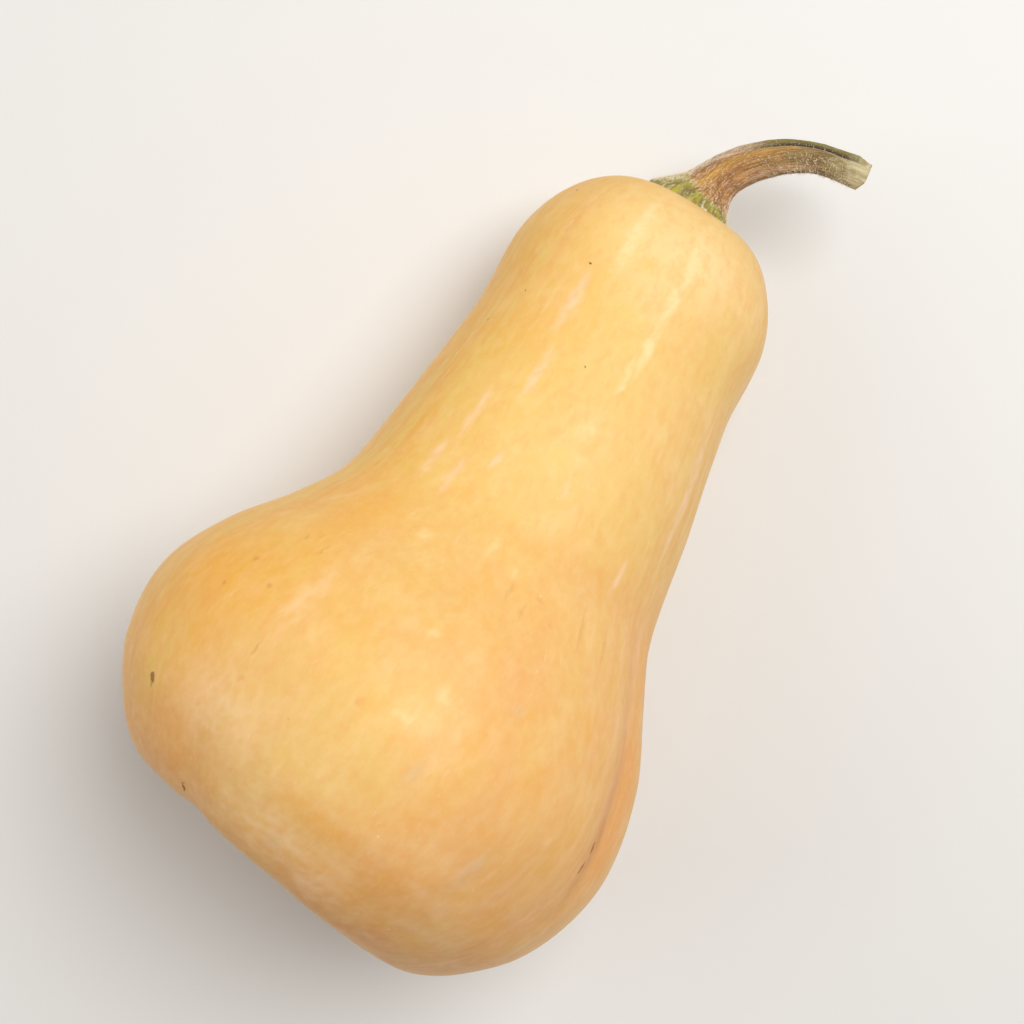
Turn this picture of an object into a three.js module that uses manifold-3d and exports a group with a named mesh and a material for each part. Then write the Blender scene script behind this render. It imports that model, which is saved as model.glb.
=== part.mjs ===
// A butternut squash lying on its side: the fruit and its cut stem. Millimetres, +Z up.
import * as THREE from "three";
import { mergeVertices } from "three/addons/utils/BufferGeometryUtils.js";
import Module from "manifold-3d";

const wasm = await Module();
wasm.setup();

// Both pieces are shaped in the fruit's own frame: +X runs along the core from the blossom end
// to the stem, and angles round it, in degrees, go from the left flank (+Y) over the top (+Z).

// Half outline of the fruit: [distance along the core, radius]
const OUTLINE = [
  [5.2, 0], // corky scar in the blossom dimple
  [5.4, 3.4],
  [6.6, 5.6],
  [5.3, 9],
  [3.1, 20],
  [1.2, 29],
  [0, 38], // rim of the blossom end
  [0.1, 42.5],
  [1.1, 47.2],
  [3.9, 52.3],
  [9.2, 58.6],
  [22.5, 68.6],
  [45, 73.8], // widest ring of the bulb
  [67.5, 67.9],
  [86, 57.3],
  [101, 49.7], // waist
  [132.5, 44.7],
  [165.5, 40.2],
  [192, 39.7], // end of the neck
  [207.5, 33.6],
  [216, 25.6],
  [218.5, 15],
  [217.6, 7], // dish round the stem
  [217, 0],
];
const CORE_LENGTH = 218.5;
const BULB_RADIUS = 73.8;
const CORE_BEND = [-7.52, -1.43]; // sideways bow of the core: one half-wave, then two
const CORE_BOW = 2; // the same upwards
const FLATNESS = 0.98; // height of a ring over its width

// Growth that isn't even: the bulb's left cheek hangs back, and the stem end is slanted
const CHEEK_LEAN = -1.4;
const STEM_END_SLANT = 0.2; // run along the core for each millimetre down the end face
const STEM_END_FROM = 0.72; // share of the core where the slant starts

// Broad waves in the skin: share of the radius, waves round, start angle, turns along the core
const SWELLS = [
  { size: 0.0054, waves: 2, start: -123.5, drift: 86 },
  { size: 0.0142, waves: 3, start: 146.4, drift: 126 },
  { size: 0.0114, waves: 5, start: -63.8, drift: -172 },
];

// Furrows that run up the bulb from the blossom end and fade out
const FURROWS = [
  { angle: 59, depth: 0.9, reach: 40 },
  { angle: 96, depth: 0.3, reach: 35 },
  { angle: 198, depth: 1.5, reach: 55 },
  { angle: 243, depth: 1.7, reach: 60 },
  { angle: 290, depth: 1.3, reach: 50 },
  { angle: 328, depth: 1.8, reach: 60 },
];
// One more along the right flank, deepest halfway up the bulb
const FLANK_FURROW = { angle: 154, depth: 1.9, starts: 25, full: 58, reach: 115 };
const FURROW_WIDTH = 7; // degrees
const FURROW_FULL_RADIUS = 36; // nearer the scar than this the furrows run out

// Shallow fold across the waist, on the upper right side
const FOLD = { at: 101, length: 5, angle: 118, spread: 30, depth: 0.8 };

const FRUIT_RINGS = 45;
const FRUIT_SIDES = 84;

// Flat spots that the fruit rests on, pressed into bulb and neck
const FOOT_TRIM = 0.6;
const WAIST_AT = 110; // divides bulb and neck when their lowest points are set level

// Stem: its line from the root, inside the neck, to the cut
const STEM_LINE = [
  [210.5, -1.2, 1.8],
  [216.4, -1.2, 2.9],
  [221, -1.6, 3.8],
  [225.4, -2.2, 5.2],
  [229.6, -3.1, 6.8],
  [233.4, -4.6, 8.3],
  [237.9, -7.6, 10.2],
  [243, -12.6, 11.9],
  [247, -18.2, 13.4],
  [249.9, -24.7, 14.7],
  [251.2, -31.2, 15.7],
  [252.3, -39.1, 16.9],
];
const STEM_RADIUS = 7.4;
const STEM_TAPER = 0.53; // share of the radius that is lost by the cut
const CUT_FLARE = 0.19; // share of the radius that the cut end regains
const CUT_FLARE_LENGTH = 0.115; // share of the stem
const COLLAR_RADIUS = 15.4; // of the flared foot, and of the root below it
const COLLAR_LENGTH = 8.9;
const COLLAR_ROUNDING = 2;
const ROOT_DEPTH = 6;
const ROOT_GAP = 0.3; // all round the root, in its socket

// Furrows between the stem's five ribs, which turn towards the cut. They start and are full at
// distances from the skin, and their depth shrinks with the stem.
const STEM_FURROWS = [
  { angle: 46, depth: 3, width: 12, starts: 14, full: 28 },
  { angle: 110, depth: 0.8, width: 24, starts: 0, full: 6 },
  { angle: 175, depth: 1, width: 17, starts: 0, full: 6 },
  { angle: 240, depth: 1.4, width: 16, starts: 0, full: 6 },
  { angle: 335, depth: 1.1, width: 17, starts: 0, full: 6 },
];
const STEM_TWIST = 25;

// The cut: ribs that end short of it, and the hollow in its face
const CUT_STEPS = [
  { angle: 38, short: 4.6, spread: 34 },
  { angle: 205, short: 1.7, spread: 50 },
];
const CUT_HOLLOW = 0.9;

const STEM_RINGS = 34;
const STEM_SIDES = 40;

const toVector = ([x, y, z]) => new THREE.Vector3(x, y, z);

// Smooth step from 0 at a share of 0 to 1 at a share of 1
const ease = (share) => THREE.MathUtils.smoothstep(share, 0, 1);

// Angle from one direction to another, between -180 and 180 degrees
const angleBetween = (from, to) => THREE.MathUtils.euclideanModulo(to - from + 180, 360) - 180;

// Bell curve: 1 in the middle, and all but 0 at twice the width
const bell = (offset, width) => Math.exp(-((offset / width) ** 2));

// Sum over a list of values worked out from its items
const total = (list, valueOf) => list.reduce((sum, item, index) => sum + valueOf(item, index), 0);

// Closed surface through rings of points, with a pole at each end
function loft(rings, firstPole, lastPole) {
  const sides = rings[0].length;
  const points = [...rings.flat(), firstPole, lastPole];
  const first = points.length - 2;
  const last = points.length - 1;
  const end = (rings.length - 1) * sides;
  const faces = [];
  for (let side = 0; side < sides; side++) {
    const next = (side + 1) % sides;
    faces.push(first, next, side);
    for (let row = 0; row < end; row += sides) {
      faces.push(row + side, row + next, row + sides + next);
      faces.push(row + side, row + sides + next, row + sides + side);
    }
    faces.push(last, end + side, end + next);
  }
  return new THREE.BufferGeometry().setFromPoints(points).setIndex(faces);
}

// Closed geometry as a solid that can be cut
function toSolid(geometry) {
  const bare = geometry.clone();
  bare.deleteAttribute("normal");
  bare.deleteAttribute("uv");
  const merged = mergeVertices(bare);
  const mesh = new wasm.Mesh({
    numProp: 3,
    vertProperties: merged.attributes.position.array,
    triVerts: new Uint32Array(merged.index.array),
  });
  return new wasm.Manifold(mesh);
}

// Cut solid back as a geometry with normals
function toGeometry(solid) {
  const { vertProperties, triVerts } = solid.getMesh();
  const geometry = new THREE.BufferGeometry();
  geometry.setAttribute("position", new THREE.BufferAttribute(vertProperties, 3));
  geometry.setIndex(new THREE.BufferAttribute(triVerts, 1));
  geometry.computeVertexNormals();
  return geometry;
}

const outlinePoints = OUTLINE.map(([along, radius]) => new THREE.Vector3(along, radius, 0));
const outline = new THREE.CatmullRomCurve3(outlinePoints, false, "centripetal");

// Point of the core at a distance along it
function coreAt(along) {
  const turn = (Math.PI * along) / CORE_LENGTH;
  const side = total(CORE_BEND, (size, index) => size * Math.sin((index + 1) * turn));
  return new THREE.Vector3(along, side, CORE_BOW * Math.sin(turn));
}

// Share by which the broad waves widen a ring at an angle
function swellAt(along, angle) {
  return total(SWELLS, ({ size, waves, start, drift }) => {
    const phase = waves * angle + start + (drift * along) / CORE_LENGTH;
    return size * Math.sin(THREE.MathUtils.degToRad(phase));
  });
}

// Depth of the furrows and of the waist fold, square to the skin
function furrowAt(along, radius, angle) {
  const atRim = Math.min(radius / FURROW_FULL_RADIUS, 1) ** 2;
  const furrows = total(FURROWS, ({ angle: at, depth, reach }) => {
    const fade = 1 - ease(along / reach);
    return depth * fade * atRim * bell(angleBetween(at, angle), FURROW_WIDTH);
  });
  const { starts, full, reach } = FLANK_FURROW;
  const deepens = ease((along - starts) / (full - starts));
  const fades = 1 - ease((along - full) / (reach - full));
  const aside = bell(angleBetween(FLANK_FURROW.angle, angle), FURROW_WIDTH);
  const flank = FLANK_FURROW.depth * deepens * fades * aside;
  const across = bell(along - FOLD.at, FOLD.length);
  const fold = FOLD.depth * across * bell(angleBetween(FOLD.angle, angle), FOLD.spread);
  return furrows + flank + fold;
}

// Point of the skin at a share of the outline and an angle
function skinAt(outlineShare, angle) {
  const { x: along, y: radius } = outline.getPoint(outlineShare);
  const slope = outline.getTangent(outlineShare);
  const furrow = furrowAt(along, radius, angle);
  const core = coreAt(along);
  const forward = coreAt(along + 0.5).sub(coreAt(along - 0.5)).normalize();
  const left = new THREE.Vector3(0, 1, 0).addScaledVector(forward, -forward.y).normalize();
  const up = new THREE.Vector3().crossVectors(forward, left);
  const turn = THREE.MathUtils.degToRad(angle);
  const full = radius * (1 + swellAt(along, angle)) - furrow * slope.x;
  const share = THREE.MathUtils.clamp(1 - along / CORE_LENGTH, 0, 1);
  const lean = CHEEK_LEAN * (radius / BULB_RADIUS) * Math.cos(turn) * share;
  const nearStem = ease((along / CORE_LENGTH - STEM_END_FROM) / (1 - STEM_END_FROM));
  const slant = STEM_END_SLANT * nearStem * radius * Math.sin(turn);
  return core
    .addScaledVector(left, full * Math.cos(turn))
    .addScaledVector(up, full * FLATNESS * Math.sin(turn))
    .addScaledVector(forward, lean - slant + furrow * slope.y);
}

// Rings of the skin from the blossom scar to the stem
function fruitRings() {
  const rings = [];
  for (let ring = 1; ring < FRUIT_RINGS; ring++) {
    const angles = Array.from({ length: FRUIT_SIDES }, (_, side) => (360 * side) / FRUIT_SIDES);
    rings.push(angles.map((angle) => skinAt(ring / FRUIT_RINGS, angle)));
  }
  return rings;
}

// Turn about +Y that sets the lowest points of bulb and neck on one level
function lyingTurn(points) {
  const bulb = points.filter((point) => point.x < WAIST_AT);
  const neck = points.filter((point) => point.x >= WAIST_AT);
  const lowest = (part, turn) =>
    Math.min(...part.map(({ x, z }) => z * Math.cos(turn) - x * Math.sin(turn)));
  let low = 0;
  let high = Math.PI / 6;
  for (let step = 0; step < 40; step++) {
    const turn = (low + high) / 2;
    if (lowest(bulb, turn) < lowest(neck, turn)) low = turn;
    else high = turn;
  }
  return { turn: low, depth: -lowest(bulb, low) };
}

// The stem's line, and its radius and furrow depth at a distance from the skin
const stemLine = new THREE.CatmullRomCurve3(STEM_LINE.map(toVector), false, "centripetal");
const stemLength = stemLine.getLength();

function stemRadiusAt(distance, angle) {
  const flare = Math.exp(-((Math.max(distance, 0) / COLLAR_LENGTH) ** COLLAR_ROUNDING));
  const reach = Math.max(distance, 0) / (stemLength - ROOT_DEPTH);
  const flared = CUT_FLARE * bell(1 - reach, CUT_FLARE_LENGTH);
  const stalk = STEM_RADIUS * (1 - STEM_TAPER * reach + flared);
  const plain = stalk + (COLLAR_RADIUS - stalk) * flare;
  const twist = STEM_TWIST * reach ** 2;
  const furrows = total(STEM_FURROWS, ({ angle: at, depth, width, starts, full }) => {
    const fade = ease((distance - starts) / (full - starts));
    return depth * fade * bell(angleBetween(at + twist, angle), width);
  });
  return plain - (furrows * plain) / STEM_RADIUS;
}

// Point of the stem's bark at a share of its length and an angle
function barkAt(share, angle) {
  const short = total(CUT_STEPS, ({ angle: at, short, spread }) =>
    short * bell(angleBetween(at, angle) ** 2, spread ** 2));
  const run = share * stemLength - short * share ** 8;
  const point = stemLine.getPointAt(run / stemLength);
  const forward = stemLine.getTangentAt(run / stemLength);
  const outer = new THREE.Vector3(0, 0, 1).cross(forward).normalize();
  const up = new THREE.Vector3().crossVectors(forward, outer);
  const turn = THREE.MathUtils.degToRad(angle);
  const radius = stemRadiusAt(run - ROOT_DEPTH, angle);
  return point
    .addScaledVector(outer, radius * Math.cos(turn))
    .addScaledVector(up, radius * Math.sin(turn));
}

function stemRings() {
  const rings = [];
  for (let ring = 0; ring <= STEM_RINGS; ring++) {
    const angles = Array.from({ length: STEM_SIDES }, (_, side) => (360 * side) / STEM_SIDES);
    rings.push(angles.map((angle) => barkAt(ring / STEM_RINGS, angle)));
  }
  return rings;
}

// Plain round hole in the end of the neck for the stem's root
function stemSocket() {
  const root = toVector(STEM_LINE[0]);
  const forward = toVector(STEM_LINE[1]).sub(root).normalize();
  const radius = COLLAR_RADIUS + ROOT_GAP;
  const length = 2 * ROOT_DEPTH + ROOT_GAP;
  const geometry = new THREE.CylinderGeometry(radius, radius, length, 48);
  const upright = new THREE.Vector3(0, 1, 0);
  geometry.applyQuaternion(new THREE.Quaternion().setFromUnitVectors(upright, forward));
  const middle = root.addScaledVector(forward, length / 2 - ROOT_GAP);
  return geometry.translate(middle.x, middle.y, middle.z);
}

// Everything below the surface that the fruit lies on, in the fruit's own frame
function belowSurface(lying) {
  const size = 4 * CORE_LENGTH;
  return new THREE.BoxGeometry(size, size, size)
    .translate(0, 0, -size / 2)
    .applyMatrix4(lying.matrix.clone().invert());
}

function makeFruit(rings, lying) {
  const whole = toSolid(loft(rings, skinAt(0, 0), skinAt(1, 0)));
  const cut = whole.subtract(toSolid(belowSurface(lying))).subtract(toSolid(stemSocket()));
  const material = new THREE.MeshStandardMaterial({ color: "#f2c583", roughness: 0.5, metalness: 0 });
  const fruit = new THREE.Mesh(toGeometry(cut), material);
  fruit.name = "fruit";
  return fruit;
}

function makeStem() {
  const root = toVector(STEM_LINE[0]);
  const cut = stemLine.getPointAt(1 - CUT_HOLLOW / stemLength);
  const material = new THREE.MeshStandardMaterial({ color: "#a3864f", roughness: 0.85, metalness: 0 });
  const stem = new THREE.Mesh(toGeometry(toSolid(loft(stemRings(), root, cut))), material);
  stem.name = "stem";
  return stem;
}

// The fruit frame laid down, with bulb and neck on the surface
const rings = fruitRings();
const { turn, depth } = lyingTurn(rings.flat());
const lying = new THREE.Group();
lying.rotation.y = turn;
lying.position.z = depth - FOOT_TRIM;
lying.updateMatrix();
lying.add(makeFruit(rings, lying), makeStem());

// Origin on the surface, under the middle of the whole squash
const squash = new THREE.Group();
squash.add(lying);
const middle = new THREE.Box3().setFromObject(squash, true).getCenter(new THREE.Vector3());
lying.position.x = -middle.x;
lying.position.y = -middle.y;

export default squash;
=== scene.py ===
"""Looks of a butternut squash that lies on its side: its grown skin and its dry, bristly stem.

Shapes are worked out in millimetres in the fruit's own frame, +X along its core from the blossom
end to the stem, and laid down and scaled to metres at the end of their node trees. Angles round
the core, in degrees, go from the left flank (+Y) over the top (+Z).
"""

import math

import bpy
import numpy as np
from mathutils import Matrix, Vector


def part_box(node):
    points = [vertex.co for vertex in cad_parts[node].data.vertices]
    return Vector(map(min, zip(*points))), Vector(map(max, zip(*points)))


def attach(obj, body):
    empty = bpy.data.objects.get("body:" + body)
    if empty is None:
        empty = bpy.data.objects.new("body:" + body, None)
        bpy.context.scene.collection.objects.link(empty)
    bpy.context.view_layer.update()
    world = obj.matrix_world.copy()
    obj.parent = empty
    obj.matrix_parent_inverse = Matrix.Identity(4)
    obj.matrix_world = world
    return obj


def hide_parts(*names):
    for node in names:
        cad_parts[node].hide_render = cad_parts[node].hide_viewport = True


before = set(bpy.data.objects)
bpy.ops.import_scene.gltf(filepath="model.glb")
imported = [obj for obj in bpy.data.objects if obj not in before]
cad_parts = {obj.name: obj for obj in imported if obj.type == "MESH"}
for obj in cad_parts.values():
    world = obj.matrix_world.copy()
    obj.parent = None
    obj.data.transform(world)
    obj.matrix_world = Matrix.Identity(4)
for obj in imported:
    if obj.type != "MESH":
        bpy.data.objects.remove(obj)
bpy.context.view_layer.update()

bl_info = {
    "name": "Butternut Squash",
    "version": (1, 0, 0),
    "blender": (4, 5, 0),
    "location": "View3D > Sidebar > Squash",
    "description": "Grows the skin and the stem of a butternut squash round its packed model",
    "category": "Add Mesh",
}

MM = 0.001
SEAM_GAP = 0.001
BODY = "root"

# Half outline of the fruit: distance along the core, radius
OUTLINE = [
    (5.2, 0),
    (5.4, 3.4),
    (6.6, 5.6),
    (5.3, 9),
    (3.1, 20),
    (1.2, 29),
    (0, 38),
    (0.1, 42.5),
    (1.1, 47.2),
    (3.9, 52.3),
    (9.2, 58.6),
    (22.5, 68.6),
    (45, 73.8),
    (67.5, 67.9),
    (86, 57.3),
    (101, 49.7),
    (132.5, 44.7),
    (165.5, 40.2),
    (192, 39.7),
    (207.5, 33.6),
    (216, 25.6),
    (218.5, 15),
    (217.6, 7),
    (217, 0),
]
CORE_LENGTH = 218.5
BULB_RADIUS = 73.8
CORE_BEND = (-7.52, -1.43)
CORE_BOW = 2
FLATNESS = 0.98
CHEEK_LEAN = -1.4
STEM_END_SLANT = 0.2
STEM_END_FROM = 0.72
LYING_TURN = 12.3
OUTLINE_STEPS = 24
STEM_STEPS = 16

# Broad waves in the skin: share of the radius, waves round, start angle, drift along the core
SWELLS = ((0.0054, 2, -123.5, 86), (0.0142, 3, 146.4, 126), (0.0114, 5, -63.8, -172))

# Furrows up the bulb from the blossom end: angle, depth, reach
FURROWS = (
    (59, 0.9, 40),
    (96, 0.3, 35),
    (198, 1.5, 55),
    (243, 1.7, 60),
    (290, 1.3, 50),
    (328, 1.8, 60),
)
# One more along the right flank: angle, depth, where it starts, is full and ends
FLANK_FURROW = (154, 1.9, 25, 58, 115)
FURROW_WIDTH = 7
FURROW_FULL_RADIUS = 36

# Shallow fold across the waist: distance along the core, length, angle, spread, depth
FOLD = (101, 5, 118, 30, 0.8)

# Line of the stem from the root inside the neck to the cut
STEM_LINE = [
    (210.5, -1.2, 1.8),
    (216.4, -1.2, 2.9),
    (221, -1.6, 3.8),
    (225.4, -2.2, 5.2),
    (229.6, -3.1, 6.8),
    (233.4, -4.6, 8.3),
    (237.9, -7.6, 10.2),
    (243, -12.6, 11.9),
    (247, -18.2, 13.4),
    (249.9, -24.7, 14.7),
    (251.2, -31.2, 15.7),
    (252.3, -39.1, 16.9),
]
STEM_RADIUS = 7.4
STEM_TAPER = 0.53
CUT_FLARE = 0.19
CUT_FLARE_LENGTH = 0.115
COLLAR_RADIUS = 15.4
COLLAR_LENGTH = 8.9
COLLAR_ROUNDING = 2.0
ROOT_DEPTH = 6
STEM_TWIST = 25
CUT_HOLLOW = 0.9

# Furrows between the stem's ribs: angle, depth, width, distances where it starts and is full
STEM_FURROWS = (
    (46, 3, 12, 14, 28),
    (110, 0.8, 24, 0, 6),
    (175, 1, 17, 0, 6),
    (240, 1.4, 16, 0, 6),
    (335, 1.1, 17, 0, 6),
)

# Ribs that end short of the cut: angle, shortfall, spread
CUT_STEPS = ((38, 4.6, 34), (205, 1.7, 50))


def linear(code):
    """Linear colour of a six-digit screen colour."""
    shares = (int(code[at : at + 2], 16) / 255 for at in (0, 2, 4))
    return tuple(s / 12.92 if s < 0.04045 else ((s + 0.055) / 1.055) ** 2.4 for s in shares)


# Arithmetic in node trees


class Term:
    """A number or vector in a node tree. Arithmetic on terms adds math nodes."""

    def __init__(self, socket):
        self.socket = socket
        self.tree = socket.id_data

    def __add__(self, other):
        return combine(self.tree, "ADD", self, other)

    def __sub__(self, other):
        return combine(self.tree, "SUBTRACT", self, other)

    def __rsub__(self, other):
        return combine(self.tree, "SUBTRACT", other, self)

    def __mul__(self, other):
        return combine(self.tree, "MULTIPLY", self, other)

    def __truediv__(self, other):
        return combine(self.tree, "DIVIDE", self, other)

    def __pow__(self, other):
        return combine(self.tree, "POWER", self, other)


def is_vector(value):
    return isinstance(value, tuple) or isinstance(value, Term) and value.socket.type == "VECTOR"


def plug(value, socket):
    """Links a term to a socket, or sets a plain value on it."""
    if isinstance(value, Term):
        value.tree.links.new(value.socket, socket)
    elif socket.type == "VECTOR" and not isinstance(value, tuple):
        socket.default_value = (value, value, value)
    elif socket.type == "RGBA" and len(value) == 3:
        socket.default_value = (*value, 1)
    else:
        socket.default_value = value


def combine(tree, operation, *values, result=0):
    """Math node on numbers, or a vector math node where one of them is a vector."""
    vector = any(is_vector(value) for value in values)
    node = tree.nodes.new("ShaderNodeVectorMath" if vector else "ShaderNodeMath")
    node.operation = operation
    for value, socket in zip(values, node.inputs):
        plug(value, socket)
    return Term(node.outputs[result])


def add_node(tree, kind, settings=None, **inputs):
    """New node with its settings and inputs. An input is named by its label, with _ for a space."""
    node = tree.nodes.new(kind)
    for name, value in (settings or {}).items():
        setattr(node, name, value)
    for name, value in inputs.items():
        plug(value, node.inputs[name.replace("_", " ")])
    return node


def xyz(tree, x, y, z):
    return Term(add_node(tree, "ShaderNodeCombineXYZ", X=x, Y=y, Z=z).outputs[0])


def parts_of(vector):
    node = add_node(vector.tree, "ShaderNodeSeparateXYZ", Vector=vector)
    return [Term(socket) for socket in node.outputs]


def sine(degrees):
    return combine(degrees.tree, "SINE", degrees * math.radians(1))


def cosine(degrees):
    return combine(degrees.tree, "COSINE", degrees * math.radians(1))


def unit(vector):
    return combine(vector.tree, "NORMALIZE", vector)


def cross(first, second):
    tree = first.tree if isinstance(first, Term) else second.tree
    return combine(tree, "CROSS_PRODUCT", first, second)


def smaller(first, second):
    return combine(first.tree, "MINIMUM", first, second)


def larger(first, second):
    return combine(first.tree, "MAXIMUM", first, second)


def clip(value):
    return smaller(larger(value, 0.0), 1.0)


def span(value, low, high):
    """Smooth step from 0 at low to 1 at high."""
    settings = {"interpolation_type": "SMOOTHSTEP"}
    node = add_node(value.tree, "ShaderNodeMapRange", settings, Value=value)
    plug(low, node.inputs["From Min"])
    plug(high, node.inputs["From Max"])
    return Term(node.outputs["Result"])


def bell(offset, width):
    """1 where the offset is 0, and all but 0 at twice the width."""
    share = offset / width
    return combine(offset.tree, "EXPONENT", share * share * -1.0)


def turn_between(angle, at):
    """Angle from at, between -180 and 180 degrees."""
    return combine(angle.tree, "WRAP", angle - at, 180.0, -180.0)


def total(terms):
    result, *others = terms
    for term in others:
        result = result + term
    return result


def noise(vector, size, detail=2.0, roughness=0.5):
    """Cloudy noise from 0 to 1 with patches of about that size."""
    node = add_node(vector.tree, "ShaderNodeTexNoise", Vector=vector)
    node.inputs["Scale"].default_value = 1 / size
    node.inputs["Detail"].default_value = detail
    node.inputs["Roughness"].default_value = roughness
    return Term(node.outputs["Fac"])


def patches(place, share, softness):
    """Mask of soft patches one unit in size that cover about that share."""
    cloud = noise(place, 1.0, detail=4.0, roughness=0.6)
    return span(cloud, 1.0 - share - softness, 1.0 - share + softness)


def mixed(share, below, above):
    """Colour from below to above as the share goes from 0 to 1."""
    node = share.tree.nodes.new("ShaderNodeMix")
    node.data_type = "RGBA"
    plug(share, node.inputs["Factor"])
    colours = [socket for socket in node.inputs if socket.type == "RGBA"]
    plug(below, colours[0])
    plug(above, colours[1])
    return Term(next(socket for socket in node.outputs if socket.type == "RGBA"))


# Node groups and meshes

SOCKETS = {
    "geometry": "NodeSocketGeometry",
    "number": "NodeSocketFloat",
    "count": "NodeSocketInt",
    "vector": "NodeSocketVector",
    "material": "NodeSocketMaterial",
}


def new_group(kind, name, inputs, outputs):
    """Node group with named sockets. Returns it with its inputs as terms."""
    group = bpy.data.node_groups.new(name, kind)
    for side, sockets in (("INPUT", inputs), ("OUTPUT", outputs)):
        for label, form in sockets.items():
            group.interface.new_socket(name=label, in_out=side, socket_type=SOCKETS[form])
    source = group.nodes.new("NodeGroupInput")
    given = {label: Term(source.outputs[label]) for label in inputs}
    return group, given


def put_out(group, **results):
    """Links terms to the group's outputs, with _ for a space in an output's label."""
    sink = group.nodes.new("NodeGroupOutput")
    for name, value in results.items():
        plug(value, sink.inputs[name.replace("_", " ")])


def grown(name, source, group, settings):
    """Object with the plain mesh that a node tree makes from source's mesh."""
    holder = bpy.data.objects.new(name, source)
    bpy.context.scene.collection.objects.link(holder)
    modifier = holder.modifiers.new(name, "NODES")
    modifier.node_group = group
    sockets = {item.name: item for item in group.interface.items_tree if item.in_out == "INPUT"}
    for label, value in settings.items():
        modifier[sockets[label].identifier] = value
    bpy.context.view_layer.update()
    seen = holder.evaluated_get(bpy.context.evaluated_depsgraph_get())
    mesh = bpy.data.meshes.new_from_object(seen)
    holder.modifiers.clear()
    holder.data = mesh
    mesh.name = name
    bpy.data.meshes.remove(source)
    return holder


def polyline(name, points):
    """Mesh of edges through points, in the points' own units."""
    mesh = bpy.data.meshes.new(name)
    edges = [(at, at + 1) for at in range(len(points) - 1)]
    mesh.from_pydata([tuple(map(float, point)) for point in points], edges, [])
    return mesh


def smooth_line(points, steps):
    """Points on the centripetal Catmull-Rom curve through points, steps to each stretch."""
    points = [np.array(point, float) for point in points]
    points = [2 * points[0] - points[1], *points, 2 * points[-1] - points[-2]]
    line = []
    for p0, p1, p2, p3 in zip(points, points[1:], points[2:], points[3:]):
        d0, d1, d2 = (np.linalg.norm(b - a) ** 0.5 for a, b in ((p0, p1), (p1, p2), (p2, p3)))
        t1 = (p1 - p0) / d0 - (p2 - p0) / (d0 + d1) + (p2 - p1) / d1
        t2 = (p2 - p1) / d1 - (p3 - p1) / (d1 + d2) + (p3 - p2) / d2
        t1, t2 = t1 * d1, t2 * d1
        for step in range(steps):
            t = step / steps
            bends = (2 * p1 - 2 * p2 + t1 + t2) * t**3 + (3 * p2 - 3 * p1 - 2 * t1 - t2) * t**2
            line.append(p1 + t1 * t + bends)
    return [*line, points[-2]]


def coordinates(mesh):
    flat = np.empty(3 * len(mesh.vertices), np.float32)
    mesh.vertices.foreach_get("co", flat)
    return flat.reshape(-1, 3)


def lay_on_node(piece, node):
    """Moves a piece's mesh so that its box has the middle and the top of its node's box."""
    low, high = (np.array(corner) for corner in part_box(node))
    points = coordinates(piece.data)
    middle = (points.min(0) + points.max(0)) / 2
    shift = (low + high) / 2 - middle
    shift[2] = high[2] - points[:, 2].max()
    points += shift
    points[:, 2] = np.maximum(points[:, 2], 0)
    piece.data.vertices.foreach_set("co", points.ravel())
    piece.data.update()


def settle(piece, slot, *nodes):
    """Hands a finished piece to the frame."""
    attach(piece, BODY)
    if nodes:
        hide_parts(*nodes)


# Steps that the geometry trees share


def unit_grid(tree, rows, columns):
    """Square grid of faces, with each point's share of the rows and of the columns."""
    node = add_node(tree, "GeometryNodeMeshGrid", Size_X=1.0, Size_Y=1.0)
    plug(rows + 1, node.inputs["Vertices X"])
    plug(columns + 1, node.inputs["Vertices Y"])
    x, y, _ = parts_of(Term(tree.nodes.new("GeometryNodeInputPosition").outputs[0]))
    return Term(node.outputs["Mesh"]), x + 0.5, y + 0.5


def curve_of(tree, line):
    """Curve along a line of edges, and its length."""
    curve = Term(add_node(tree, "GeometryNodeMeshToCurve", Mesh=line).outputs[0])
    return curve, Term(add_node(tree, "GeometryNodeCurveLength", Curve=curve).outputs[0])


def along_curve(tree, curve, share):
    """Point and direction at a share of a curve's length."""
    settings = {"mode": "FACTOR", "use_all_curves": False}
    node = add_node(tree, "GeometryNodeSampleCurve", settings, Curves=curve, Factor=share)
    return Term(node.outputs["Position"]), Term(node.outputs["Tangent"])


def store(geometry, name, value):
    """Keeps a value on the points, for the materials."""
    kind = {"VECTOR": "FLOAT_VECTOR", "RGBA": "FLOAT_COLOR"}.get(value.socket.type, "FLOAT")
    node = add_node(geometry.tree, "GeometryNodeStoreNamedAttribute", {"data_type": kind})
    plug(geometry, node.inputs["Geometry"])
    node.inputs["Name"].default_value = name
    plug(value, node.inputs["Value"])
    return Term(node.outputs["Geometry"])


def laid_down(vector, turn):
    """Vector of the fruit's own frame in the frame where it lies."""
    x, y, z = parts_of(vector)
    level, rise = cosine(turn), sine(turn)
    return xyz(vector.tree, x * level + z * rise, y, z * level - x * rise)


def close_and_finish(geometry, position, material):
    """Moves the grid's points to their places, closes seam and poles and sets the material."""
    tree = geometry.tree
    moved = add_node(tree, "GeometryNodeSetPosition", Geometry=geometry, Position=position * MM)
    merged = add_node(tree, "GeometryNodeMergeByDistance", Geometry=Term(moved.outputs[0]))
    merged.inputs["Distance"].default_value = SEAM_GAP * MM
    smooth = add_node(tree, "GeometryNodeSetShadeSmooth", Geometry=Term(merged.outputs[0]))
    real = add_node(tree, "GeometryNodeRealizeInstances", Geometry=Term(smooth.outputs[0]))
    done = add_node(tree, "GeometryNodeSetMaterial", Geometry=Term(real.outputs[0]), Material=material)
    put_out(tree, Geometry=Term(done.outputs[0]))


# Fruit

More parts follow.
